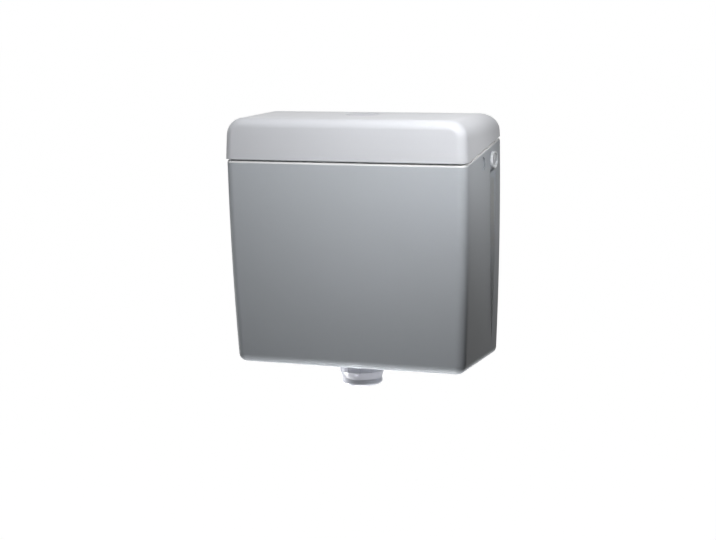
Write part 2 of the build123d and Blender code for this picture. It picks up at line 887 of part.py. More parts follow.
def piston_front():
    """Where the piston washer's face stands when the valve is open."""
    return nozzle_x + piston_travel + rest_gap


def arm_pivot_x():
    """The float arm's pivot, set by the heel's lowest place and the piston's free end."""
    neck_end = -wall_inside_x + inlet_washer_thickness + valve_body_length + cap_neck_length + cap_end_wall
    return neck_end + arm_hub_radius + arm_ear_gap + piston_travel / 2


def piston_end():
    """The piston's free end, where the arm's heel pushes it."""
    heel_x = arm_heel_length * math.sin(math.radians(arm_swing / 2))
    return arm_pivot_x() + heel_x - arm_heel_radius - rest_gap


def valve_piston():
    """Piston with a wider head, which slides in the valve cap."""
    head = piston_front() + piston_washer_thickness
    shape = rod_x(piston_head_radius, head, head + piston_head_length, 0, 0)
    return at_inlet(shape + rod_x(piston_radius, head, piston_end(), 0, 0))


def piston_washer():
    """Rubber disc that closes the nozzle."""
    start = piston_front()
    return at_inlet(rod_x(piston_head_radius, start, start + piston_washer_thickness, 0, 0))


def valve_cap():
    """Cap on the valve body: a ribbed skirt, a guide for the piston and two ears for the arm."""
    body_end = -wall_inside_x + inlet_washer_thickness + valve_body_length
    neck_end = body_end + cap_end_wall + cap_neck_length
    pivot_x = arm_pivot_x()
    shape = rod_x(cap_skirt_radius, body_end - cap_skirt_length, body_end + cap_end_wall, 0, 0)
    rib = rod_x(cap_rib_radius, body_end - cap_skirt_length, body_end + cap_end_wall, 0, cap_skirt_radius)
    for number in range(cap_rib_count):
        shape += Rot(360 * number / cap_rib_count, 0, 0) * rib
    shape -= rod_x(valve_body_radius + thread_clearance, body_end - 2 * cap_skirt_length, body_end, 0, 0)
    shape += rod_x(cap_neck_radius, body_end, neck_end, 0, 0)
    for number in (-1, 1):
        near = number * (arm_hub_width / 2 + arm_ear_gap)
        far = number * (arm_hub_width / 2 + arm_ear_gap + arm_ear_thickness)
        y_range = sorted((near, far))
        low = -arm_axis_drop - arm_ear_radius
        ear = block((neck_end - cap_neck_length / 2, pivot_x), y_range, (low, low + 2 * arm_ear_radius))
        ear += rod_y_axis(arm_ear_radius, *y_range, pivot_x, -arm_axis_drop)
        shape += ear
    reach = arm_hub_width + cut_over
    shape -= rod_y_axis(arm_pin_radius + running_clearance, -reach, reach, pivot_x, -arm_axis_drop)
    guide = piston_radius + running_clearance
    return at_inlet(shape - rod_x(guide, body_end - cut_over, neck_end + cut_over, 0, 0))


def at_arm(shape):
    """Turns a shape made on a level arm down to the arm's lower stop and moves it to the pivot."""
    return Pos(arm_pivot_x(), -inlet_depth, inlet_z - arm_axis_drop) * Rot(0, arm_swing, 0) * shape


def float_arm():
    """Lever with a hub, a heel that pushes the piston and an eye for the float rod."""
    half = arm_bar_width / 2
    shape = rod_y_axis(arm_hub_radius, -arm_hub_width / 2, arm_hub_width / 2, 0, 0)
    heel = rod_y_axis(arm_heel_radius, -half, half, 0, arm_heel_length)
    heel += block((-arm_heel_radius / 2, arm_heel_radius / 2), (-half, half), (0, arm_heel_length))
    shape += Rot(0, -arm_swing / 2, 0) * heel
    shape += block((0, arm_reach), (-half, half), (-arm_bar_height / 2, arm_bar_height / 2))
    shape += rod_z(arm_eye_radius, -arm_eye_height / 2, arm_eye_height / 2, arm_reach)
    shape -= rod_z(float_rod_radius + running_clearance, -arm_eye_height, arm_eye_height, arm_reach)
    shape -= rod_y_axis(arm_pin_radius + running_clearance, -arm_hub_width, arm_hub_width, 0, 0)
    return at_arm(shape)


def float_arm_pin():
    """Pin through the cap's ears and the arm."""
    end = arm_hub_width / 2 + arm_ear_gap + arm_ear_thickness
    pin = rod_y_axis(arm_pin_radius, -end - arm_pin_head, end + arm_pin_head, 0, 0)
    pin += rod_y_axis(arm_pin_head_radius, -end - arm_pin_head, -end, 0, 0)
    return Pos(arm_pivot_x(), -inlet_depth, inlet_z - arm_axis_drop) * pin


def float_rod():
    """Threaded rod on which the float is set to the water level."""
    return at_arm(rod_z(float_rod_radius, -float_rod_below, float_rod_above, arm_reach))


def float_nuts():
    """Two nuts that clamp the rod in the arm's eye."""
    nut = hex_nut(float_nut_across, float_nut_height, float_rod_radius + running_clearance)
    nut = Pos(arm_reach, 0, 0) * nut
    upper = Pos(0, 0, arm_eye_height / 2) * nut
    lower = Pos(0, 0, -arm_eye_height / 2 - float_nut_height) * nut
    return Compound(children=[at_arm(upper), at_arm(lower)])


def water_float():
    """Closed float on the lower end of the rod."""
    body = rod_z(float_radius, -float_drop - float_height, -float_drop, arm_reach)
    body = fillet(body.edges().filter_by(GeomType.CIRCLE), float_round)
    body += rod_z(float_tube_radius, -float_drop - float_round, -float_drop + float_round, arm_reach)
    return at_arm(body - rod_z(float_rod_radius + running_clearance, -float_rod_below, 0, arm_reach))


def fill_tube():
    """Drop tube that leads the water quietly to the floor."""
    flange = -wall_inside_x + inlet_washer_thickness
    x = flange + valve_body_length - valve_cavity_length + stub_from_cavity_end
    bore = spigot_radius + running_clearance
    high = inlet_z - valve_body_radius - stub_length
    low = floor_top + fill_tube_above_floor
    tube = rod_z(bore + fill_tube_wall, low, high, x, -inlet_depth)
    return tube - rod_z(bore, low - cut_over, high + cut_over, x, -inlet_depth)


def blanking_cap():
    """Dished cap over the unused inlet hole, with a grip bar and a threaded stem through the wall."""
    face = half_width + blank_head_height
    stem = inlet_hole_radius - blank_stem_clearance
    seat = half_width + blank_washer_thickness
    head = rod_x(blank_head_radius, half_width + blank_head_gap, face, 0, 0)
    head = fillet([head.edges().filter_by(GeomType.CIRCLE).sort_by(Axis.X)[-1]], blank_head_round)
    head -= rod_x(blank_head_radius - blank_washer_inset + thread_clearance, 0, seat, 0, 0)
    head -= rod_x(blank_dish_radius, face - blank_dish_depth, face + cut_over, 0, 0)
    grip = (-blank_grip_width / 2, blank_grip_width / 2)
    reach = (-blank_dish_radius, blank_dish_radius)
    head += block((seat, face - blank_head_round), grip, reach)
    stem_end = half_width - blank_stem_length
    shape = head + rod_x(stem, stem_end, face - blank_dish_depth, 0, 0)
    return at_inlet(shape - rod_x(stem - blank_stem_wall, 0, half_width, 0, 0))


def blanking_washer():
    """Rubber washer under the cap."""
    outer = blank_head_radius - blank_washer_inset
    ring = rod_x(outer, half_width, half_width + blank_washer_thickness, 0, 0)
    return at_inlet(ring - rod_x(inlet_hole_radius, 0, tank_width, 0, 0))


def blanking_nut():
    """Nut that holds the cap from inside the tank."""
    bore = inlet_hole_radius - blank_stem_clearance + thread_clearance
    nut = hex_nut(blank_nut_across, blank_nut_height, bore)
    return at_inlet(Pos(wall_inside_x, 0, 0) * Rot(0, -90, 0) * nut)


pieces = [
    tank_body,
    lid,
    base_gasket,
    flush_valve_base,
    outlet_backnut,
    flush_pipe_connector,
    flush_pipe_seal,
    valve_tower,
    lift_rocker,
    rocker_pin,
    overflow_tube,
    valve_seal,
    seal_retainer,
    valve_float,
    button_housing,
    housing_nut,
    flush_button,
    push_rod,
    rod_lock_nut,
    button_spring,
    fill_valve_body,
    inlet_washer,
    inlet_backnut,
    inlet_filter,
    valve_piston,
    piston_washer,
    valve_cap,
    float_arm,
    float_arm_pin,
    float_rod,
    float_nuts,
    water_float,
    fill_tube,
    blanking_cap,
    blanking_washer,
    blanking_nut,
]

for make in pieces:
    export_step(make(), os.path.join("parts", make.__name__ + ".step"))

print("rocker swing", round(rocker_swing, 2), "degrees; piston travel", round(piston_travel, 2), "mm")
print("arm pivot", round(arm_pivot_x(), 2), -inlet_depth, round(inlet_z - arm_axis_drop, 2))
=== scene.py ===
import json
import logging
import math
from collections.abc import Iterator, Sequence
from contextlib import contextmanager
from dataclasses import dataclass
from enum import Enum

import bpy
from mathutils import Color, Matrix, Vector


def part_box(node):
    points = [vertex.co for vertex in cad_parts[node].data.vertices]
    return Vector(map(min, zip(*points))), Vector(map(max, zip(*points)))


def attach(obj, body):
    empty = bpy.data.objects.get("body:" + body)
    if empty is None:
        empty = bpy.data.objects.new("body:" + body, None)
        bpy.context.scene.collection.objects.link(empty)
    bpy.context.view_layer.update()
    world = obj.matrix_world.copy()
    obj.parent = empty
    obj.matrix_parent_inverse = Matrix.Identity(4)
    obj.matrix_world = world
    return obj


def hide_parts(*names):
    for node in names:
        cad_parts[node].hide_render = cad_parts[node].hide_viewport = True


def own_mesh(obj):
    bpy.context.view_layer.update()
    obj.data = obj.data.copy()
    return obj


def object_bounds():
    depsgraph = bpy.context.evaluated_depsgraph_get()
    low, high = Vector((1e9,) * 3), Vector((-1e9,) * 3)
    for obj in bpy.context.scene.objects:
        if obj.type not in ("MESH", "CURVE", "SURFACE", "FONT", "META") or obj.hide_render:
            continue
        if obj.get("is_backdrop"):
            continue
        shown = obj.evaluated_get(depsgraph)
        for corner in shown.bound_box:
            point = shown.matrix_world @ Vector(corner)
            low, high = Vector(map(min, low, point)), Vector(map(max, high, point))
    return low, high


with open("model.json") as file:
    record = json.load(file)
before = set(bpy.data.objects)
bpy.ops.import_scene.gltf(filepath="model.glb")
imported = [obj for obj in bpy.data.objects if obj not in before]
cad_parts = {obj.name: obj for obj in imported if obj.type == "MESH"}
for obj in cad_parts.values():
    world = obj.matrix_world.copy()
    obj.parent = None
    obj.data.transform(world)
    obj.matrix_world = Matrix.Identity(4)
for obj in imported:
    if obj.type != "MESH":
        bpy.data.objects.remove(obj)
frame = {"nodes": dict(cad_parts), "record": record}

CAD_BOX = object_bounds()
MM = 0.001
WELD = 0.002 * MM
LOG = logging.getLogger("cistern")

Colour = tuple[float, float, float, float]
Point = tuple[float, float, float]
Profile = Sequence[tuple[float, float]]
Piece = bpy.types.Object
Material = bpy.types.Material
Tree = bpy.types.NodeTree
Node = bpy.types.Node
Socket = bpy.types.NodeSocket
Groups = dict[str, Tree]

TANK_WALL = 3.0 * MM
TANK_HALF_WIDTH = 190.0 * MM
TANK_DEPTH = 165.0 * MM
WATER_LEVEL = -24.0 * MM

EVEN: Point = (1.0, 1.0, 1.0)
MID_GREY: Colour = (0.5, 0.5, 0.5, 1.0)
WHITE_LIGHT: Colour = (1.0, 1.0, 1.0, 1.0)


class Slot(Enum):
    """The record's material slots."""

    TANK = "tank_plastic"
    LID = "lid_plastic"
    WHITE = "white_plastic"
    VALVE = "valve_plastic"
    MOVING = "moving_plastic"
    FLOAT = "float_plastic"
    RUBBER = "rubber"
    STEEL = "spring_steel"
    BRASS = "brass"


Materials = dict[Slot, Material]


class Cut(Enum):
    """The Boolean modifier's ways to join two shapes."""

    TAKE_AWAY = "DIFFERENCE"
    JOIN = "UNION"


def screen_colour(red: float, green: float, blue: float) -> Colour:
    """A colour written as it looks on screen, turned to linear light.

    Args:
        red: screen red, from 0 to 1.
        green: screen green.
        blue: screen blue.

    Returns:
        The linear colour with full alpha.
    """
    return *Color((red, green, blue)).from_srgb_to_scene_linear(), 1.0


def grey(level: float, blue: float = 0.0) -> Colour:
    """A screen grey, made bluer by a small share.

    Args:
        level: the screen grey, from 0 to 1.
        blue: how much bluer than neutral it is.

    Returns:
        The linear colour with full alpha.
    """
    return screen_colour(level - blue, level, level + blue)


class Bench:
    """The modelling operators that the sub-assemblies share."""

    thread_depth_share = 0.6
    crest_shares = (0.4, 0.6)
    lead_turns = 1.5
    spare_turns = 3
    bar_segments = 3

    @staticmethod
    def take(piece: Piece) -> None:
        """Selects one piece alone and makes it active.

        Args:
            piece: the piece to work on next.
        """
        bpy.ops.object.select_all(action="DESELECT")
        piece.select_set(True)
        bpy.context.view_layer.objects.active = piece

    @staticmethod
    @contextmanager
    def editing() -> Iterator[None]:
        """Opens the active piece for editing, with all of it selected, and closes it again.

        Yields:
            Nothing. The piece is open in between.
        """
        bpy.ops.object.mode_set(mode="EDIT")
        bpy.ops.mesh.select_all(action="SELECT")
        yield
        bpy.ops.object.mode_set(mode="OBJECT")

    @classmethod
    def turned(cls, name: str, profile: Profile, sides: int = 96, ring: bool = False) -> Piece:
        """Turns a half profile about Z, as on a lathe.

        Args:
            name: the piece's name.
            profile: radius and height of each point, in metres, from the bottom round the outside up.
            sides: how many facets go round.
            ring: whether the profile closes on itself round an open bore.

        Returns:
            The turned piece.
        """
        radius, height = profile[0]
        bpy.ops.mesh.primitive_circle_add(vertices=sides, radius=radius, location=(0.0, 0.0, height))
        piece = bpy.context.object
        piece.name = name
        bpy.ops.object.transform_apply()
        with cls.editing():
            if not ring:
                bpy.ops.mesh.edge_face_add()
            for next_radius, next_height in [*profile[1:], *(profile[:1] if ring else ())]:
                rise = {"value": (0.0, 0.0, next_height - height)}
                bpy.ops.mesh.extrude_region_move(TRANSFORM_OT_translate=rise)
                share = next_radius / radius
                bpy.ops.transform.resize(value=(share, share, 1.0), center_override=(0.0, 0.0, next_height))
                radius, height = next_radius, next_height
            bpy.ops.mesh.select_all(action="SELECT")
            bpy.ops.mesh.remove_doubles(threshold=WELD)
            bpy.ops.mesh.normals_make_consistent(inside=False)
        return piece

    @classmethod
    def threaded(cls, name: str, radius: float, pitch: float, length: float, steps: int = 24) -> Piece:
        """Winds a screw thread about Z and trims it square at both ends.

        Args:
            name: the piece's name.
            radius: the thread's outer radius.
            pitch: the rise of one turn.
            length: the length from z = 0 up.
            steps: facets in one turn.

        Returns:
            A closed threaded bar.
        """
        root = radius - cls.thread_depth_share * pitch
        start = -cls.lead_turns * pitch
        crest = [(radius, start + share * pitch) for share in cls.crest_shares]
        path = ((root, start), *crest, (root, start + pitch))
        bpy.ops.mesh.primitive_plane_add(size=pitch, location=(root, 0.0, start))
        piece = bpy.context.object
        piece.name = name
        bpy.ops.object.transform_apply()
        with cls.editing():
            bpy.ops.mesh.merge(type="CENTER")
            for (from_radius, from_height), (to_radius, to_height) in zip(path, path[1:]):
                step = {"value": (to_radius - from_radius, 0.0, to_height - from_height)}
                bpy.ops.mesh.extrude_region_move(TRANSFORM_OT_translate=step)
        screw = piece.modifiers.new("thread", "SCREW")
        screw.screw_offset = pitch
        screw.iterations = math.ceil(length / pitch) + cls.spare_turns
        screw.steps = steps
        screw.render_steps = steps
        bpy.ops.object.modifier_apply(modifier=screw.name)
        with cls.editing():
            bpy.ops.mesh.remove_doubles(threshold=WELD)
            for level, lower in ((0.0, True), (length, False)):
                bpy.ops.mesh.select_all(action="SELECT")
                bpy.ops.mesh.bisect(
                    plane_co=(0.0, 0.0, level),
                    plane_no=(0.0, 0.0, 1.0),
                    use_fill=True,
                    clear_inner=lower,
                    clear_outer=not lower,
                )
            bpy.ops.mesh.select_all(action="SELECT")
            bpy.ops.mesh.normals_make_consistent(inside=False)
        return piece

    @classmethod
    def bar(cls, name: str, size: Point, centre: Point, round_off: float) -> Piece:
        """A rectangular bar with rounded edges.

        Args:
            name: the piece's name.
            size: its lengths along the three axes.
            centre: its middle.
            round_off: the radius of its edges.

        Returns:
            The rounded bar.
        """
        bpy.ops.mesh.primitive_cube_add(size=1.0, location=centre)
        piece = bpy.context.object
        piece.name = name
        piece.scale = size
        bpy.ops.object.transform_apply()
        with cls.editing():
            bpy.ops.mesh.bevel(offset=round_off, segments=cls.bar_segments, affect="EDGES")
        return piece

    @classmethod
    def copy_of(cls, node: str, name: str) -> Piece:
        """A merged copy of a CAD node, free to be cut.

        Args:
            node: the CAD node.
            name: the copy's name.

        Returns:
            The copy, with its own mesh and no materials.
        """
        source = frame["nodes"][node]
        piece = bpy.data.objects.new(name, source.data.copy())
        bpy.context.scene.collection.objects.link(piece)
        piece.data.materials.clear()
        cls.take(piece)
        with cls.editing():
            bpy.ops.mesh.remove_doubles(threshold=WELD)
        return piece

    @classmethod
    def trim(cls, piece: Piece, place: Point, away: Point) -> None:
        """Cuts off what lies beyond a plane and closes the cut.

        Args:
            piece: the piece to cut.
            place: a point on the plane.
            away: the direction of the side that is cut off.
        """
        cls.take(piece)
        with cls.editing():
            bpy.ops.mesh.bisect(plane_co=place, plane_no=away, use_fill=True, clear_outer=True)

    @classmethod
    def combine(cls, piece: Piece, other: Piece, cut: Cut) -> None:
        """Takes another shape away from a piece or adds it, and removes that shape.

        Args:
            piece: the piece that stays.
            other: the shape that is used up.
            cut: how the two are combined.
        """
        cls.take(piece)
        boolean = piece.modifiers.new("cut", "BOOLEAN")
        boolean.operation = cut.value
        boolean.solver = "EXACT"
        boolean.object = other
        bpy.ops.object.modifier_apply(modifier=boolean.name)
        bpy.data.objects.remove(other)

    @classmethod
    def merge(cls, piece: Piece, *others: Piece) -> None:
        """Joins separate shapes into one piece's mesh.

        Args:
            piece: the piece that stays.
            others: the shapes that are used up.
        """
        cls.take(piece)
        for other in others:
            other.select_set(True)
        bpy.ops.object.join()

    @classmethod
    def place(cls, piece: Piece, location: Point, turn: Point = (0.0, 0.0, 0.0)) -> None:
        """Turns and moves a piece and keeps the result in its mesh.

        Args:
            piece: the piece.
            location: where its origin goes.
            turn: its angles about X, Y and Z, in radians.
        """
        cls.take(piece)
        piece.rotation_euler = turn
        piece.location = location
        bpy.ops.object.transform_apply()


def middle_of(node: str) -> Vector:
    """The middle of a CAD node's box.

    Args:
        node: the CAD node.

    Returns:
        The point halfway between the box's corners.
    """
    low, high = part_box(node)
    return (low + high) / 2


@dataclass(frozen=True)
class Pattern:
    """A noise pattern and the part of its range that shows."""

    scale: float
    detail: float
    low: float = 0.0
    high: float = 1.0
    stretch: Point = EVEN


RUBBED_PATCHES = Pattern(scale=38.0, detail=8.0, low=0.56, high=0.72)
DUST_FLECKS = Pattern(scale=55.0, detail=6.0, low=0.35, high=0.75)
LIME_STREAKS = Pattern(scale=42.0, detail=7.0, low=0.25, high=0.8, stretch=(1.0, 1.0, 0.25))
TARNISH_PATCHES = Pattern(scale=90.0, detail=6.0, low=0.45, high=0.75)


class GroupMaker:
    """Builds a shader node group with named sockets."""

    def __init__(self, name: str, inputs: dict[str, float | Colour], outputs: Sequence[str]) -> None:
        """Starts a group and its sockets.

        Args:
            name: the group's name.
            inputs: each input's name and usual value; a colour makes a colour socket.
            outputs: the outputs' names; those that start with Color are colours.
        """
        self.tree = bpy.data.node_groups.new(name, "ShaderNodeTree")
        self.link = self.tree.links.new
        for label, default in inputs.items():
            kind = "NodeSocketColor" if isinstance(default, tuple) else "NodeSocketFloat"
            socket = self.tree.interface.new_socket(name=label, in_out="INPUT", socket_type=kind)
            socket.default_value = default
        for label in outputs:
            kind = "NodeSocketColor" if label.startswith("Color") else "NodeSocketFloat"
            self.tree.interface.new_socket(name=label, in_out="OUTPUT", socket_type=kind)
        self.entry = self.tree.nodes.new("NodeGroupInput")
        self.exit = self.tree.nodes.new("NodeGroupOutput")
        self.coordinates = self.tree.nodes.new("ShaderNodeTexCoord")

    @classmethod
    def of_film(cls, name: str, own: dict[str, float | Colour]) -> "GroupMaker":
        """Starts a group that lays a film over a colour and a roughness.

        Args:
            name: the group's name.
            own: the inputs that only this film has.

        Returns:
            The maker of that group.
        """
        return cls(name, {"Base": MID_GREY, "Gloss": 0.35, **own}, ("Color", "Roughness"))

    def give(self, **results: Socket) -> Tree:
        """Wires the group's outputs.

        Args:
            results: the socket for each output.

        Returns:
            The finished group.
        """
        for label, socket in results.items():
            self.link(socket, self.exit.inputs[label])
        return self.tree

    def lay(self, share: Socket, film: str, duller: float) -> Tree:
        """Lays a film's colour over the base, makes it duller there and finishes the group.

        Args:
            share: where the film shows, before the input Amount thins it.
            film: the input with the film's colour.
            duller: how much roughness a full film adds.

        Returns:
            The finished group.
        """
        given = self.entry.outputs
        share = self.sum("MULTIPLY", share, given["Amount"])
        colour = self.blend(share, given["Base"], given[film])
        return self.give(Color=colour, Roughness=self.sum("MULTIPLY_ADD", share, duller, given["Gloss"]))

    def noise(self, scale: float | Socket, detail: float = 3.0, stretch: Point = EVEN) -> Socket:
        """Adds a noise pattern on Object coordinates.

        Args:
            scale: its scale, or the socket that gives it.
            detail: how many finer layers it has.
            stretch: the pattern's scale along each axis.

        Returns:
            The pattern's value.
        """
        mapping = self.tree.nodes.new("ShaderNodeMapping")
        mapping.inputs["Scale"].default_value = stretch
        self.link(self.coordinates.outputs["Object"], mapping.inputs["Vector"])
        pattern = self.tree.nodes.new("ShaderNodeTexNoise")
        pattern.inputs["Detail"].default_value = detail
        self.link(mapping.outputs["Vector"], pattern.inputs["Vector"])
        if isinstance(scale, Socket):
            self.link(scale, pattern.inputs["Scale"])
        else:
            pattern.inputs["Scale"].default_value = scale
        return pattern.outputs["Fac"]

    def sum(self, operation: str, *terms: float | Socket) -> Socket:
        """Adds a math node.

        Args:
            operation: the node's operation.
            terms: its inputs, each a number or a socket.

        Returns:
            The node's output.
        """
        node = self.tree.nodes.new("ShaderNodeMath")
        node.operation = operation
        for socket, term in zip(node.inputs, terms):
            if isinstance(term, Socket):
                self.link(term, socket)
            else:
                socket.default_value = term
        return node.outputs[0]

    def ramp(self, value: Socket, low: float, high: float) -> Socket:
        """Maps a value to 0..1, held at both ends.

        Args:
            value: the value.
            low: where it gives 0.
            high: where it gives 1.

        Returns:
            The mapped value.
        """
        node = self.tree.nodes.new("ShaderNodeMapRange")
        node.inputs["From Min"].default_value = low
        node.inputs["From Max"].default_value = high
        self.link(value, node.inputs["Value"])
        return node.outputs[0]

    def patches(self, pattern: Pattern) -> Socket:
        """Adds a noise pattern and keeps the part of it that shows.

        Args:
            pattern: the pattern and its range.

        Returns:
            A value from 0 to 1.
        """
        value = self.noise(pattern.scale, pattern.detail, pattern.stretch)
        return self.ramp(value, pattern.low, pattern.high)

    def parts_of(self, label: str) -> bpy.types.NodeOutputs:
        """Splits one of the object's coordinates into X, Y and Z.

        Args:
            label: the coordinate's name, such as Object or Normal.

        Returns:
            The three parts by name.
        """
        split = self.tree.nodes.new("ShaderNodeSeparateXYZ")
        self.link(self.coordinates.outputs[label], split.inputs[0])
        return split.outputs

    def blend(self, share: Socket, first: Socket, second: Socket) -> Socket:
        """Mixes two colours by a share.

        Args:
            share: how much of the second colour shows.
            first: the first colour.
            second: the second colour.

        Returns:
            The mixed colour.
        """
        node = self.tree.nodes.new("ShaderNodeMix")
        node.data_type = "RGBA"
        self.link(share, node.inputs["Factor"])
        self.link(first, node.inputs["A"])
        self.link(second, node.inputs["B"])
        return node.outputs["Result"]


def moulded_surface_group() -> Tree:
    """Builds the grain, tint and gloss that all moulded surfaces share.

    Returns:
        A group that puts out colour, roughness and height.
    """
    make = GroupMaker(
        "moulded_surface",
        {
            "Base": MID_GREY,
            "Tint spread": 0.03,
            "Grain scale": 900.0,
            "Gloss": 0.35,
            "Gloss spread": 0.06,
            "Wear": 0.0,
        },
        ("Color", "Roughness", "Height"),
    )
    given = make.entry.outputs
    cloud_scale = 9.0
    cloud_detail = 4.0
    cloud_middle = 0.5
    flow_scale = 160.0
    flow_share = 0.6
    cloud = make.sum("SUBTRACT", make.noise(cloud_scale, cloud_detail), cloud_middle)
    tint = make.tree.nodes.new("ShaderNodeVectorMath")
    tint.operation = "SCALE"
    make.link(given["Base"], tint.inputs[0])
    make.link(make.sum("MULTIPLY_ADD", cloud, given["Tint spread"], 1.0), tint.inputs["Scale"])
    rubbed = make.sum("MULTIPLY", make.patches(RUBBED_PATCHES), given["Wear"])
    soft = make.sum("MULTIPLY_ADD", cloud, given["Gloss spread"], given["Gloss"])
    grain = make.noise(given["Grain scale"])
    relief = make.sum("MULTIPLY_ADD", make.noise(flow_scale), flow_share, grain)
    return make.give(Color=tint.outputs[0], Roughness=make.sum("ADD", soft, rubbed), Height=relief)


def settled_dust_group() -> Tree:
    """Builds a thin layer of dust on faces that look up.

    Returns:
        The group.
    """
    make = GroupMaker.of_film("settled_dust", {"Dust": (0.6, 0.57, 0.52, 1.0), "Amount": 0.1})
    slope_bare = 0.55
    slope_full = 0.98
    upward = make.ramp(make.parts_of("Normal")["Z"], slope_bare, slope_full)
    flecks = make.patches(DUST_FLECKS)
    return make.lay(make.sum("MULTIPLY", upward, flecks), "Dust", duller=0.4)


def lime_film_group() -> Tree:
    """Builds the chalky film that standing water leaves below its level, inside the tank.

    Returns:
        The group.
    """
    make = GroupMaker.of_film(
        "lime_film",
        {
            "Lime": (0.52, 0.47, 0.36, 1.0),
            "Level": WATER_LEVEL,
            "Half width": TANK_HALF_WIDTH,
            "Depth": TANK_DEPTH,
            "Wall": TANK_WALL,
            "Amount": 0.4,
        },
    )
    given = make.entry.outputs
    ragged_scale = 30.0
    ragged_detail = 5.0
    ragged_height = 6.0 * MM
    edge_start = -3.0 * MM
    edge_full = 1.0 * MM
    front_reach = 80.0 * MM
    floor_start = -200.0 * MM
    floor_full = -280.0 * MM
    inward_start = 0.25
    inward_full = 0.7
    skin = 1.0 * MM
    place = make.parts_of("Object")
    facing = make.parts_of("Normal")
    ragged = make.sum("MULTIPLY_ADD", make.noise(ragged_scale, ragged_detail), ragged_height, place["Z"])
    below = make.ramp(make.sum("SUBTRACT", given["Level"], ragged), edge_start, edge_full)
    inner_x = make.sum("MULTIPLY", make.sum("MULTIPLY", facing["X"], place["X"]), -1.0 / TANK_HALF_WIDTH)
    from_middle = make.sum("MULTIPLY_ADD", given["Depth"], 0.5, place["Y"])
    inner_y = make.sum("MULTIPLY", make.sum("MULTIPLY", facing["Y"], from_middle), -1.0 / front_reach)
    inner_z = make.sum("MULTIPLY", facing["Z"], make.ramp(place["Z"], floor_start, floor_full))
    inward = make.sum("MAXIMUM", make.sum("MAXIMUM", inner_x, inner_y), inner_z)
    inside = make.ramp(inward, inward_start, inward_full)
    reach = make.sum("SUBTRACT", given["Half width"], make.sum("ABSOLUTE", place["X"]))
    hidden = make.ramp(make.sum("SUBTRACT", reach, given["Wall"]), -skin, 0.0)
    streaks = make.patches(LIME_STREAKS)
    share = make.sum("MULTIPLY", make.sum("MULTIPLY", below, inside), make.sum("MULTIPLY", hidden, streaks))
    return make.lay(share, "Lime", duller=0.5)


def painted_rim_highlight_group() -> Tree:
    """Builds a painted highlight: a pale, slightly glossier line along the tank's rim, just below where the
    lid comes down on it.

    Returns:
        The group.
    """
    make = GroupMaker.of_film(
        "rubbed_rim",
        {
            "Pale": (0.9, 0.9, 0.9, 1.0),
            "Rim height": 8.0 * MM,
            "Rim width": 4.0 * MM,
            "Rise": 0.154,
            "Rise start": -161.0 * MM,
            "Amount": 0.8,
        },
    )
    given = make.entry.outputs
    foot_outer = 1.15
    foot_inner = 0.85
    top_blur = 0.1
    # The pale line below the rim is painted highlight on the shoulder and stands in for light there; the
    # line is also made a little glossier.
    place = make.parts_of("Object")
    back = make.sum("MAXIMUM", make.sum("SUBTRACT", place["Y"], given["Rise start"]), 0.0)
    rim = make.sum("MULTIPLY_ADD", back, given["Rise"], given["Rim height"])
    below = make.sum("DIVIDE", make.sum("SUBTRACT", rim, place["Z"]), given["Rim width"])
    foot = make.ramp(below, foot_outer, foot_inner)
    line = make.sum("MULTIPLY", foot, make.ramp(below, -top_blur, top_blur))
    return make.lay(line, "Pale", duller=-0.1)


def tool_marks_group() -> Tree:
    """Builds the fine lines that turning or drawing leaves on metal.

    Returns:
        A group that puts out colour, roughness and height.
    """
    make = GroupMaker(
        "tool_marks",
        {
            "Base": MID_GREY,
            "Tarnish": (0.2, 0.16, 0.1, 1.0),
            "Gloss": 0.3,
            "Line scale": 260.0,
            "Amount": 0.3,
        },
        ("Color", "Roughness", "Height"),
    )
    given = make.entry.outputs
    line_detail = 2.0
    line_stretch = (0.15, 0.15, 6.0)
    line_gloss = 0.12
    dulled = 0.5
    lines = make.noise(given["Line scale"], line_detail, line_stretch)
    share = make.sum("MULTIPLY", make.patches(TARNISH_PATCHES), given["Amount"])
    colour = make.blend(share, given["Base"], given["Tarnish"])
    gloss = make.sum("MULTIPLY_ADD", share, dulled, given["Gloss"])
    return make.give(
        Color=colour, Roughness=make.sum("MULTIPLY_ADD", lines, line_gloss, gloss), Height=lines
    )


def blank_material(name: str) -> tuple[Material, Node]:
    """Starts a material with nodes.

    Args:
        name: the material's name.

    Returns:
        The material and its surface shader.
    """
    material = bpy.data.materials.new(name)
    material.use_nodes = True
    return material, material.node_tree.nodes["Principled BSDF"]


def group_node(material: Material, group: Tree, **values: float | Colour) -> Node:
    """Adds a shared group to a material.

    Args:
        material: the material.
        group: the shared group.
        values: the inputs' values, with underscores for the spaces in their names.

    Returns:
        The group's node.
    """
    node = material.node_tree.nodes.new("ShaderNodeGroup")
    node.node_tree = group
    for label, value in values.items():
        node.inputs[label.replace("_", " ")].default_value = value
    return node


def wire_surface(
    material: Material, last: Node, height: Socket, strength: float, distance: float
) -> None:
    """Wires the last layer's colour and roughness, and a fine relief, to the surface shader.

    Args:
        material: the material.
        last: the node that gives the final colour and roughness.
        height: the relief's height.
        strength: how strongly the relief shows.
        distance: how deep it is.
    """
    nodes = material.node_tree.nodes
    links = material.node_tree.links
    shader = nodes["Principled BSDF"]
    bump = nodes.new("ShaderNodeBump")
    bump.inputs["Strength"].default_value = strength
    bump.inputs["Distance"].default_value = distance
    links.new(last.outputs["Color"], shader.inputs["Base Color"])
    links.new(last.outputs["Roughness"], shader.inputs["Roughness"])
    links.new(height, bump.inputs["Height"])
    links.new(bump.outputs["Normal"], shader.inputs["Normal"])


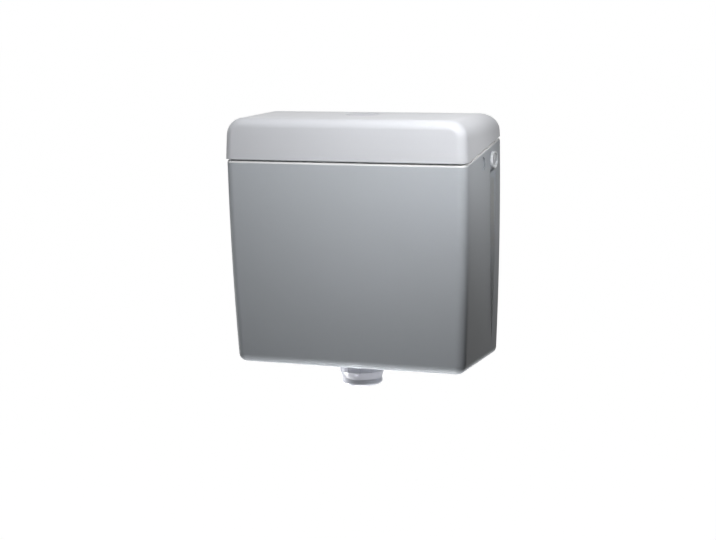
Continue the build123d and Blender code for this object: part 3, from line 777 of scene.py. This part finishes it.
@dataclass(frozen=True)
class MouldedPlastic:
    """A moulded surface with faint grain, uneven gloss, dust and, in the tank, lime and a painted highlight
    along the rim.
    """

    name: str
    base: Colour
    roughness: float = 0.35
    roughness_spread: float = 0.06
    tint_spread: float = 0.03
    grain_scale: float = 900.0
    bump: float = 0.02
    bump_height: float = 0.2 * MM
    wear: float = 0.05
    specular: float = 0.5
    dust: float = 0.06
    lime: float = 0.0
    # rim sets how strongly the painted rim highlight shows.
    rim: float = 0.0

    def make(self, groups: Groups) -> Material:
        """Builds the material.

        Args:
            groups: the shared node groups by name.

        Returns:
            The finished material.
        """
        material, shader = blank_material(self.name)
        shader.inputs["Specular IOR Level"].default_value = self.specular
        surface = group_node(
            material,
            groups["moulded_surface"],
            Base=self.base,
            Tint_spread=self.tint_spread,
            Grain_scale=self.grain_scale,
            Gloss=self.roughness,
            Gloss_spread=self.roughness_spread,
            Wear=self.wear,
        )
        last = surface
        links = material.node_tree.links
        # The rim film is a painted highlight; dust and lime are real films.
        films = {"settled_dust": self.dust, "lime_film": self.lime, "rubbed_rim": self.rim}
        for name, amount in films.items():
            if amount:
                film = group_node(material, groups[name], Amount=amount)
                links.new(last.outputs["Color"], film.inputs["Base"])
                links.new(last.outputs["Roughness"], film.inputs["Gloss"])
                last = film
        wire_surface(material, last, surface.outputs["Height"], self.bump, self.bump_height)
        return material


@dataclass(frozen=True)
class WorkedMetal:
    """Drawn or turned metal with fine lines and dull patches."""

    name: str
    base: Colour
    tarnish: Colour
    roughness: float = 0.26
    amount: float = 0.35
    bump: float = 0.12
    bump_height: float = 0.1 * MM

    def make(self, groups: Groups) -> Material:
        """Builds the material.

        Args:
            groups: the shared node groups by name.

        Returns:
            The finished material.
        """
        material, shader = blank_material(self.name)
        shader.inputs["Metallic"].default_value = 1.0
        marks = group_node(
            material,
            groups["tool_marks"],
            Base=self.base,
            Tarnish=self.tarnish,
            Gloss=self.roughness,
            Amount=self.amount,
        )
        wire_surface(material, marks, marks.outputs["Height"], self.bump, self.bump_height)
        return material


FINISHES: dict[Slot, MouldedPlastic | WorkedMetal] = {
    Slot.TANK: MouldedPlastic(
        "tank_plastic_with_painted_shade",
        # The tank is the same pale plastic as the lid; its base is set greyer than the lid's, and that
        # extra grey is painted shade.
        screen_colour(0.780, 0.800, 0.822),
        roughness=0.34,
        specular=0.06,
        lime=0.45,
        # rim lays the painted highlight along the tank's shoulder.
        rim=0.9,
    ),
    Slot.LID: MouldedPlastic(
        "lid_pale_plastic", screen_colour(0.85, 0.858, 0.878), roughness=0.30, specular=0.3
    ),
    # This white plastic gets a darker, bluish base than white; the darkening and the blue tint are painted
    # shade.
    Slot.WHITE: MouldedPlastic("white_plastic", screen_colour(0.80, 0.805, 0.84), roughness=0.30),
    Slot.VALVE: MouldedPlastic("natural_valve_plastic", grey(0.88, -0.008), roughness=0.42, dust=0.2),
    Slot.MOVING: MouldedPlastic(
        "blue_valve_plastic", screen_colour(0.33, 0.50, 0.68), roughness=0.4, dust=0.15
    ),
    Slot.FLOAT: MouldedPlastic(
        "foamed_float", grey(0.92, -0.01), roughness=0.75, bump=0.35, grain_scale=420.0, tint_spread=0.06
    ),
    Slot.RUBBER: MouldedPlastic(
        "black_rubber", grey(0.13), roughness=0.68, bump=0.12, specular=0.3, wear=0.15, dust=0.25
    ),
    Slot.STEEL: WorkedMetal("drawn_steel", grey(0.78), grey(0.5)),
    Slot.BRASS: WorkedMetal(
        "turned_brass", screen_colour(0.82, 0.68, 0.40), screen_colour(0.50, 0.40, 0.24)
    ),
}
CAP_FINISH = MouldedPlastic("cap_pale_plastic", screen_colour(0.93, 0.94, 0.955), roughness=0.26)


@dataclass(frozen=True)
class Fitting:
    """A shape with the body that carries it, its slot and the CAD node that it stands for, if any."""

    piece: Piece
    body: str
    slot: Slot
    replaces: str = ""


class SubAssembly:
    """Pieces that are made, dressed and fixed one after the other."""

    crease = math.radians(32.0)

    def fittings(self) -> Iterator[Fitting]:
        """Makes each piece and says where it goes.

        Yields:
            The pieces, each made only when the one before it is fixed.
        """
        raise NotImplementedError

    def build(self, materials: Materials) -> None:
        """Makes each piece, smooths it, dresses it and fixes it to its body.

        Args:
            materials: the finished materials by slot.
        """
        for fitting in self.fittings():
            piece = fitting.piece
            Bench.take(piece)
            bpy.ops.object.shade_smooth_by_angle(angle=self.crease)
            piece.data.materials.clear()
            piece.data.materials.append(materials[fitting.slot])
            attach(piece, fitting.body)
            if fitting.replaces:
                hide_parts(fitting.replaces)
            LOG.info("%s rides on %s, %d faces", piece.name, fitting.body, len(piece.data.polygons))


@dataclass
class InletValve(SubAssembly):
    """The fill valve: its threaded tail outside the tank and the collar on its fill tube."""

    tail_radius: float = 8.3 * MM
    tail_pitch: float = 1.337 * MM
    tail_length: float = 16.0 * MM
    tail_bore: float = 5.5 * MM
    collar_radius: float = 8.0 * MM
    collar_grip: float = 0.5 * MM
    collar_height: float = 7.5 * MM
    collar_sink: float = 0.02 * MM
    collar_drop: float = 0.4 * MM
    collar_grips: int = 4
    collar_sides: int = 64
    grip_shares: tuple[float, ...] = (0.15, 0.35, 0.65, 0.85)

    def body(self) -> Piece:
        """The valve's body with a real thread on its tail.

        Returns:
            The body, which stands for the CAD node.
        """
        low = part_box("fill_valve_body")[0]
        axis = middle_of("inlet_backnut")
        cut = low.x + self.tail_length
        piece = Bench.copy_of("fill_valve_body", "threaded_valve_body")
        Bench.trim(piece, (cut, 0.0, 0.0), (-1.0, 0.0, 0.0))
        tail = Bench.threaded("tail", self.tail_radius, self.tail_pitch, self.tail_length)
        over = self.tail_length / 4
        bore = Bench.turned("bore", ((self.tail_bore, -over), (self.tail_bore, self.tail_length + over)))
        Bench.combine(tail, bore, Cut.TAKE_AWAY)
        Bench.place(tail, (low.x, axis.y, axis.z), (0.0, math.pi / 2, 0.0))
        Bench.merge(piece, tail)
        return piece

    def fill_collar(self) -> Piece:
        """A ribbed collar that grips the top of the fill tube.

        Returns:
            The collar.
        """
        low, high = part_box("fill_tube")
        inner = (high.x - low.x) / 2 - self.collar_sink
        valley = self.collar_radius - self.collar_grip
        axis = (low + high) / 2
        top = high.z - self.collar_drop
        foot = top - self.collar_height
        outline = [(inner, foot), (valley, foot)]
        pitch = self.collar_height / self.collar_grips
        for number in range(self.collar_grips):
            start = foot + pitch * number
            for share, reach in zip(self.grip_shares, (0.0, self.collar_grip, self.collar_grip, 0.0)):
                outline.append((valley + reach, start + share * pitch))
        outline += [(valley, top), (inner, top)]
        piece = Bench.turned("fill_tube_collar", outline, self.collar_sides, ring=True)
        Bench.place(piece, (axis.x, axis.y, 0.0))
        return piece

    def fittings(self) -> Iterator[Fitting]:
        """Both pieces stay with the tank."""
        yield Fitting(self.body(), "tank", Slot.VALVE, replaces="fill_valve_body")
        yield Fitting(self.fill_collar(), "tank", Slot.MOVING)


@dataclass
class FloatLever(SubAssembly):
    """The threaded float rod and the float's weld seam."""

    rod_radius: float = 2.5 * MM
    rod_pitch: float = 0.8 * MM
    rod_length: float = 62.0 * MM
    rod_steps: int = 20
    seam_width: float = 1.8 * MM
    seam_proud: float = 0.5 * MM
    seam_sink: float = 0.1 * MM
    float_radius: float = 22.0 * MM

    def lean(self) -> float:
        """The rod's lean at rest, from its box with the rod's own thickness allowed for.

        Returns:
            The angle from upright, in radians.
        """
        low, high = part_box("float_rod")
        across = high.x - low.x
        upright = high.z - low.z
        diagonal = math.atan2(across, upright)
        thickness = 2 * self.rod_radius * math.cos(2 * diagonal)
        return diagonal - math.asin(thickness / math.hypot(across, upright))

    def rod(self) -> Piece:
        """The rod, threaded from end to end.

        Returns:
            The rod, which stands for the CAD node.
        """
        thread = (self.rod_radius, self.rod_pitch, self.rod_length, self.rod_steps)
        piece = Bench.threaded("threaded_float_rod", *thread)
        Bench.place(piece, (0.0, 0.0, -self.rod_length / 2))
        Bench.place(piece, tuple(middle_of("float_rod")), (0.0, self.lean(), 0.0))
        return piece

    def seam(self) -> Piece:
        """The raised line where the float's two halves are welded.

        Returns:
            The seam, a thin ring.
        """
        inner = self.float_radius - self.seam_sink
        outer = self.float_radius + self.seam_proud
        half = self.seam_width / 2
        lower = ((inner, -half), (outer - half / 2, -half), (outer, -half / 2))
        upper = tuple((radius, -height) for radius, height in reversed(lower))
        piece = Bench.turned("float_weld_seam", lower + upper, ring=True)
        Bench.place(piece, tuple(middle_of("water_float")), (0.0, self.lean(), 0.0))
        return piece

    def fittings(self) -> Iterator[Fitting]:
        """Both pieces swing with the lever."""
        yield Fitting(self.rod(), "float_lever", Slot.BRASS, replaces="float_rod")
        yield Fitting(self.seam(), "float_lever", Slot.FLOAT)


@dataclass
class FlushValve(SubAssembly):
    """The overflow tube's mouth bead and the clip that sets its float's height."""

    tube_radius: float = 15.0 * MM
    bead_proud: float = 1.3 * MM
    bead_height: float = 3.6 * MM
    clip_wall: float = 2.2 * MM
    clip_height: float = 4.6 * MM
    clip_gap: float = 0.4 * MM
    tab_length: float = 9.0 * MM
    tab_width: float = 10.0 * MM
    tab_thickness: float = 2.2 * MM
    sink: float = 0.05 * MM
    bead_steps: int = 8

    def bead(self) -> Piece:
        """A half-round bead round the tube's mouth.

        Returns:
            The bead.
        """
        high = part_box("overflow_tube")[1]
        axis = middle_of("valve_seal")
        inner = self.tube_radius - self.sink
        foot = high.z - self.bead_height
        outline = [(inner, foot)]
        for number in range(self.bead_steps + 1):
            angle = math.pi * number / self.bead_steps - math.pi / 2
            height = foot + self.bead_height / 2 * (1.0 + math.sin(angle))
            outline.append((self.tube_radius + self.bead_proud * math.cos(angle), height))
        outline.append((inner, high.z))
        piece = Bench.turned("overflow_mouth_bead", outline, ring=True)
        Bench.place(piece, (axis.x, axis.y, 0.0))
        return piece

    def clip(self) -> Piece:
        """A ring with a thumb tab, pushed down on to the ring float.

        Returns:
            The clip.
        """
        float_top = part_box("valve_float")[1].z
        axis = middle_of("valve_seal")
        foot = float_top + self.clip_gap
        inner = self.tube_radius - self.sink
        outer = self.tube_radius + self.clip_wall
        edge = self.clip_wall / 4
        top = foot + self.clip_height
        outline = (
            (inner, foot),
            (outer - edge, foot),
            (outer, foot + edge),
            (outer, top - edge),
            (outer - edge, top),
            (inner, top),
        )
        piece = Bench.turned("float_height_clip", outline, ring=True)
        size = (self.tab_width, self.tab_length, self.tab_thickness)
        centre = (0.0, -outer - self.tab_length / 2 + edge, foot + self.clip_height / 2)
        tab = Bench.bar("tab", size, centre, self.tab_thickness / 3)
        Bench.combine(piece, tab, Cut.JOIN)
        Bench.place(piece, (axis.x, axis.y, 0.0))
        return piece

    def fittings(self) -> Iterator[Fitting]:
        """Both pieces lift with the tube."""
        yield Fitting(self.bead(), "flush_tube", Slot.MOVING)
        yield Fitting(self.clip(), "flush_tube", Slot.FLOAT)


@dataclass
class PushButton(SubAssembly):
    """The dished button, its return spring and its push rod, threaded at the top for the lock nut."""

    dish_radius: float = 20.5 * MM
    dish_depth: float = 1.1 * MM
    groove_radius: float = 23.0 * MM
    groove_width: float = 0.7 * MM
    groove_depth: float = 0.45 * MM
    dish_steps: int = 12
    rod_radius: float = 3.0 * MM
    rod_pitch: float = 1.0 * MM
    thread_length: float = 22.0 * MM
    travel: float = 8.0 * MM

    def button(self) -> Piece:
        """The button with a shallow thumb dish and a fine ring round it.

        Returns:
            The button, which stands for the CAD node.
        """
        low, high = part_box("flush_button")
        top = high.z
        piece = Bench.copy_of("flush_button", "dished_flush_button")
        curve = (self.dish_radius**2 + self.dish_depth**2) / (2 * self.dish_depth)
        over = 2 * self.dish_depth
        outline = []
        for number in range(1, self.dish_steps + 1):
            radius = self.dish_radius * number / self.dish_steps
            outline.append((radius, top - self.dish_depth + curve - math.sqrt(curve**2 - radius**2)))
        outline.append((self.dish_radius, top + over))
        lens = Bench.turned("lens", outline)
        half = self.groove_width / 2
        ring = (
            (self.groove_radius - half, top + over),
            (self.groove_radius, top - self.groove_depth),
            (self.groove_radius + half, top + over),
        )
        groove = Bench.turned("groove", ring, ring=True)
        for cutter in (lens, groove):
            Bench.place(cutter, ((low.x + high.x) / 2, (low.y + high.y) / 2, 0.0))
            Bench.combine(piece, cutter, Cut.TAKE_AWAY)
        return piece

    def rod(self) -> Piece:
        """The push rod with a threaded upper end.

        Returns:
            The rod, which stands for the CAD node.
        """
        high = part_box("push_rod")[1]
        axis = middle_of("push_rod")
        cut = high.z - self.thread_length
        piece = Bench.copy_of("push_rod", "threaded_push_rod")
        Bench.trim(piece, (0.0, 0.0, cut), (0.0, 0.0, 1.0))
        thread = Bench.threaded("thread", self.rod_radius, self.rod_pitch, self.thread_length)
        Bench.place(thread, (axis.x, axis.y, cut))
        Bench.merge(piece, thread)
        return piece

    def fittings(self) -> Iterator[Fitting]:
        """The spring stays with the lid. The button and the rod go down."""
        spring = Bench.copy_of("button_spring", "coiled_return_spring")
        yield Fitting(spring, "lid", Slot.STEEL, replaces="button_spring")
        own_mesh(spring)
        yield Fitting(self.button(), "button", Slot.WHITE, replaces="flush_button")
        yield Fitting(self.rod(), "button", Slot.VALVE, replaces="push_rod")


@dataclass
class TankShell(SubAssembly):
    """The mark for the water level, on the inside of the rear wall."""

    line_length: float = 70.0 * MM
    line_height: float = 1.4 * MM
    proud: float = 0.9 * MM
    sink: float = 0.05 * MM
    tick_length: float = 14.0 * MM
    tick_drop: float = 12.0 * MM
    ticks: int = 3

    def level_mark(self) -> Piece:
        """A raised line at the water level with shorter ticks below it.

        Returns:
            The mark.
        """
        depth = -TANK_WALL - self.proud / 2 + self.sink
        size = (self.line_length, self.proud, self.line_height)
        piece = Bench.bar("water_level_mark", size, (0.0, depth, WATER_LEVEL), self.proud / 3)
        for number in range(1, self.ticks + 1):
            size = (self.tick_length, self.proud, self.line_height)
            centre = (0.0, depth, WATER_LEVEL - self.tick_drop * number)
            Bench.merge(piece, Bench.bar("tick", size, centre, self.proud / 3))
        return piece

    def fittings(self) -> Iterator[Fitting]:
        """The mark stays with the tank."""
        yield Fitting(self.level_mark(), "tank", Slot.TANK)


@dataclass
class LidUnderside(SubAssembly):
    """The round marks that the mould's ejector pins leave under the lid."""

    wall: float = 3.0 * MM
    mark_radius: float = 4.0 * MM
    mark_height: float = 0.3 * MM
    across: tuple[float, ...] = (-112.0 * MM, -68.0 * MM, 68.0 * MM, 112.0 * MM)
    along: tuple[float, ...] = (-118.0 * MM, -58.0 * MM)
    mark_sides: int = 32

    def marks(self) -> Piece:
        """Low discs in two rows.

        Returns:
            The discs as one piece.
        """
        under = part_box("lid")[1].z - self.wall
        foot = under - self.mark_height
        edge = self.mark_height / 2
        outline = (
            (self.mark_radius - edge, foot),
            (self.mark_radius, foot + edge),
            (self.mark_radius, under + edge),
        )
        discs = []
        for x in self.across:
            for y in self.along:
                disc = Bench.turned("lid_ejector_marks", outline, self.mark_sides)
                Bench.place(disc, (x, y, 0.0))
                discs.append(disc)
        Bench.merge(*discs)
        return discs[0]

    def fittings(self) -> Iterator[Fitting]:
        """The marks go with the lid."""
        yield Fitting(self.marks(), "lid", Slot.LID)


@dataclass
class CadDresser:
    """Gives the CAD nodes their procedural materials, by slot or their own, and breaks the nuts' edges."""

    materials: Materials
    own: dict[str, Material]
    edge_break: float = 0.3 * MM
    edge_segments: int = 2
    flat_angle: float = math.radians(1.0)
    sharp_angle: float = math.radians(40.0)
    crisp_nodes: tuple[str, ...] = ("inlet_backnut", "blanking_nut", "float_nuts", "rod_lock_nut")

    def soften(self, node: Piece) -> None:
        """Adds a small live bevel to a node's sharp edges.

        Args:
            node: the CAD node's object.
        """
        weld = node.modifiers.new("weld", "WELD")
        weld.merge_threshold = WELD
        flat = node.modifiers.new("flat", "DECIMATE")
        flat.decimate_type = "DISSOLVE"
        flat.angle_limit = self.flat_angle
        bevel = node.modifiers.new("edge", "BEVEL")
        bevel.width = self.edge_break
        bevel.segments = self.edge_segments
        bevel.limit_method = "ANGLE"
        bevel.angle_limit = self.sharp_angle

    def dress(self) -> None:
        """Puts each node's material on it."""
        for part in frame["record"]["subparts"]:
            name = part["node"]
            node = frame["nodes"][name]
            node.data.materials.clear()
            node.data.materials.append(self.own.get(name, self.materials[Slot(part["material_slot"])]))
            if name in self.crisp_nodes:
                self.soften(node)
            LOG.info("dressed %s", name)


@dataclass(frozen=True)
class Lamp:
    """A rectangular soft lamp that the camera doesn't see, with its spread in degrees."""

    name: str
    place: Point
    aim: Point
    width: float
    height: float
    watts: float
    spread: float = 180.0

    def hang(self) -> None:
        """Adds the lamp to the scene."""
        data = bpy.data.lights.new(self.name, "AREA")
        data.shape = "RECTANGLE"
        data.size = self.width
        data.size_y = self.height
        data.energy = self.watts
        data.spread = math.radians(self.spread)
        holder = bpy.data.objects.new(self.name, data)
        bpy.context.scene.collection.objects.link(holder)
        holder.location = self.place
        way = Vector(self.aim) - Vector(self.place)
        holder.rotation_euler = way.to_track_quat("-Z", "Y").to_euler()
        holder.visible_camera = False


LAMPS = (
    Lamp("side", (0.56, -0.30, 0.28), (0.19, -0.10, 0.01), 0.10, 0.10, 0.080, spread=40.0),
    Lamp("front", (0.13, -0.62, 0.35), (0.02, -0.16, -0.08), 0.25, 0.25, 3.3),
    Lamp("overhead", (-0.02, -0.20, 0.90), (-0.02, -0.12, 0.0), 0.4, 0.3, 1.7),
    Lamp("low_left", (-0.36, -0.13, -0.62), (0.0, -0.11, -0.31), 0.06, 0.06, 0.041, spread=24.0),
    Lamp("below", (0.05, -0.15, -0.80), (0.05, -0.15, -0.30), 0.2, 0.02, 2.9),
    Lamp("left", (-1.00, 0.02, -0.42), (-0.19, -0.05, -0.12), 0.4, 0.4, 1.8),
    Lamp("rear", (-0.42, 1.05, -0.50), (0.0, 0.0, -0.12), 0.6, 0.5, 8.0),
)


def seen_directly(tree: Tree) -> Socket:
    """Tells camera, glossy and transmission rays from the rays that light the object.

    Args:
        tree: the node tree of the world or material.

    Returns:
        A socket that is 1 for rays that should see the pale background.
    """
    path = tree.nodes.new("ShaderNodeLightPath")
    value = path.outputs["Is Camera Ray"]
    for name in ("Is Glossy Ray", "Is Transmission Ray"):
        either = tree.nodes.new("ShaderNodeMath")
        either.operation = "MAXIMUM"
        tree.links.new(value, either.inputs[0])
        tree.links.new(path.outputs[name], either.inputs[1])
        value = either.outputs[0]
    return value


def mixed_by(tree: Tree, share: Socket, first: Socket, second: Socket) -> Socket:
    """Mixes two shaders.

    Args:
        tree: the node tree of the world or material.
        share: how much of the second shader shows.
        first: the first shader.
        second: the second shader.

    Returns:
        The mixed shader.
    """
    mixed = tree.nodes.new("ShaderNodeMixShader")
    for socket, value in zip(mixed.inputs, (share, first, second)):
        tree.links.new(value, socket)
    return mixed.outputs[0]


@dataclass
class Studio:
    """Camera, lamps, floor and background."""

    lens: float = 90.42
    sensor: float = 36.0
    place: Point = (0.98520, -2.58552, 0.28523)
    right: Point = (0.93018272, 0.36653772, -0.02025353)
    up: Point = (-0.04186203, 0.16072444, 0.98611116)
    back: Point = (0.36470217, -0.91641571, 0.16484711)
    floor_drop: float = 0.9
    floor_size: float = 60.0
    floor_level: float = 0.5
    floor_glow: float = 0.995
    ambient: float = 0.02
    clip: float = 200.0

    def camera(self) -> None:
        """Places the camera at the photograph's viewpoint."""
        data = bpy.data.cameras.new("camera")
        data.lens = self.lens
        data.sensor_width = self.sensor
        data.clip_end = self.clip
        holder = bpy.data.objects.new("camera", data)
        bpy.context.scene.collection.objects.link(holder)
        columns = (*self.right, 0.0), (*self.up, 0.0), (*self.back, 0.0), (*self.place, 1.0)
        holder.matrix_world = Matrix(columns).transposed()
        bpy.context.scene.camera = holder

    def floor(self) -> None:
        """Lays the pale floor below the cistern, clear when it is seen from underneath."""
        low = CAD_BOX[0][2] - self.floor_drop
        bpy.ops.mesh.primitive_plane_add(size=self.floor_size, location=(0.0, 0.0, low))
        plane = bpy.context.object
        plane.name = "floor"
        material = bpy.data.materials.new("pale_floor")
        material.use_nodes = True
        tree = material.node_tree
        nodes = tree.nodes
        nodes.clear()
        diffuse = nodes.new("ShaderNodeBsdfDiffuse")
        diffuse.inputs["Color"].default_value = grey(self.floor_level)
        glow = nodes.new("ShaderNodeEmission")
        glow.inputs["Strength"].default_value = self.floor_glow
        both = nodes.new("ShaderNodeAddShader")
        tree.links.new(diffuse.outputs[0], both.inputs[0])
        tree.links.new(glow.outputs[0], both.inputs[1])
        above = mixed_by(tree, seen_directly(tree), diffuse.outputs[0], both.outputs[0])
        underneath = nodes.new("ShaderNodeNewGeometry").outputs["Backfacing"]
        clear = nodes.new("ShaderNodeBsdfTransparent").outputs[0]
        output = nodes.new("ShaderNodeOutputMaterial")
        tree.links.new(mixed_by(tree, underneath, above, clear), output.inputs["Surface"])
        plane.data.materials.append(material)
        plane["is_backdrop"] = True

    def background(self) -> None:
        """Gives the world a soft level for the object and white for the camera."""
        world = bpy.data.worlds.new("studio")
        bpy.context.scene.world = world
        world.use_nodes = True
        tree = world.node_tree
        tree.nodes.clear()
        levels = []
        for strength in (self.ambient, 1.0):
            level = tree.nodes.new("ShaderNodeBackground")
            level.inputs["Strength"].default_value = strength
            level.inputs["Color"].default_value = WHITE_LIGHT
            levels.append(level.outputs[0])
        output = tree.nodes.new("ShaderNodeOutputWorld")
        tree.links.new(mixed_by(tree, seen_directly(tree), *levels), output.inputs["Surface"])

    def build(self) -> None:
        """Sets up the whole studio."""
        bpy.context.scene.view_settings.view_transform = "Standard"
        self.camera()
        self.background()
        self.floor()
        for lamp in LAMPS:
            lamp.hang()


def main() -> None:
    """Builds the pieces in order and reports each one."""
    logging.basicConfig(level=logging.INFO, format="%(name)s: %(message)s")
    trees = (
        moulded_surface_group(),
        settled_dust_group(),
        lime_film_group(),
        painted_rim_highlight_group(),
        tool_marks_group(),
    )
    groups = {tree.name: tree for tree in trees}
    materials = {slot: finish.make(groups) for slot, finish in FINISHES.items()}
    CadDresser(materials, {"blanking_cap": CAP_FINISH.make(groups)}).dress()
    for part in (InletValve(), FloatLever(), FlushValve(), PushButton(), TankShell(), LidUnderside()):
        part.build(materials)
        LOG.info("built %s", type(part).__name__)
    Studio().build()
    pairs = {"cad": CAD_BOX, "visual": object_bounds()}
    boxes = {name: [list(corner) for corner in pair] for name, pair in pairs.items()}


if __name__ == "__main__":
    main()
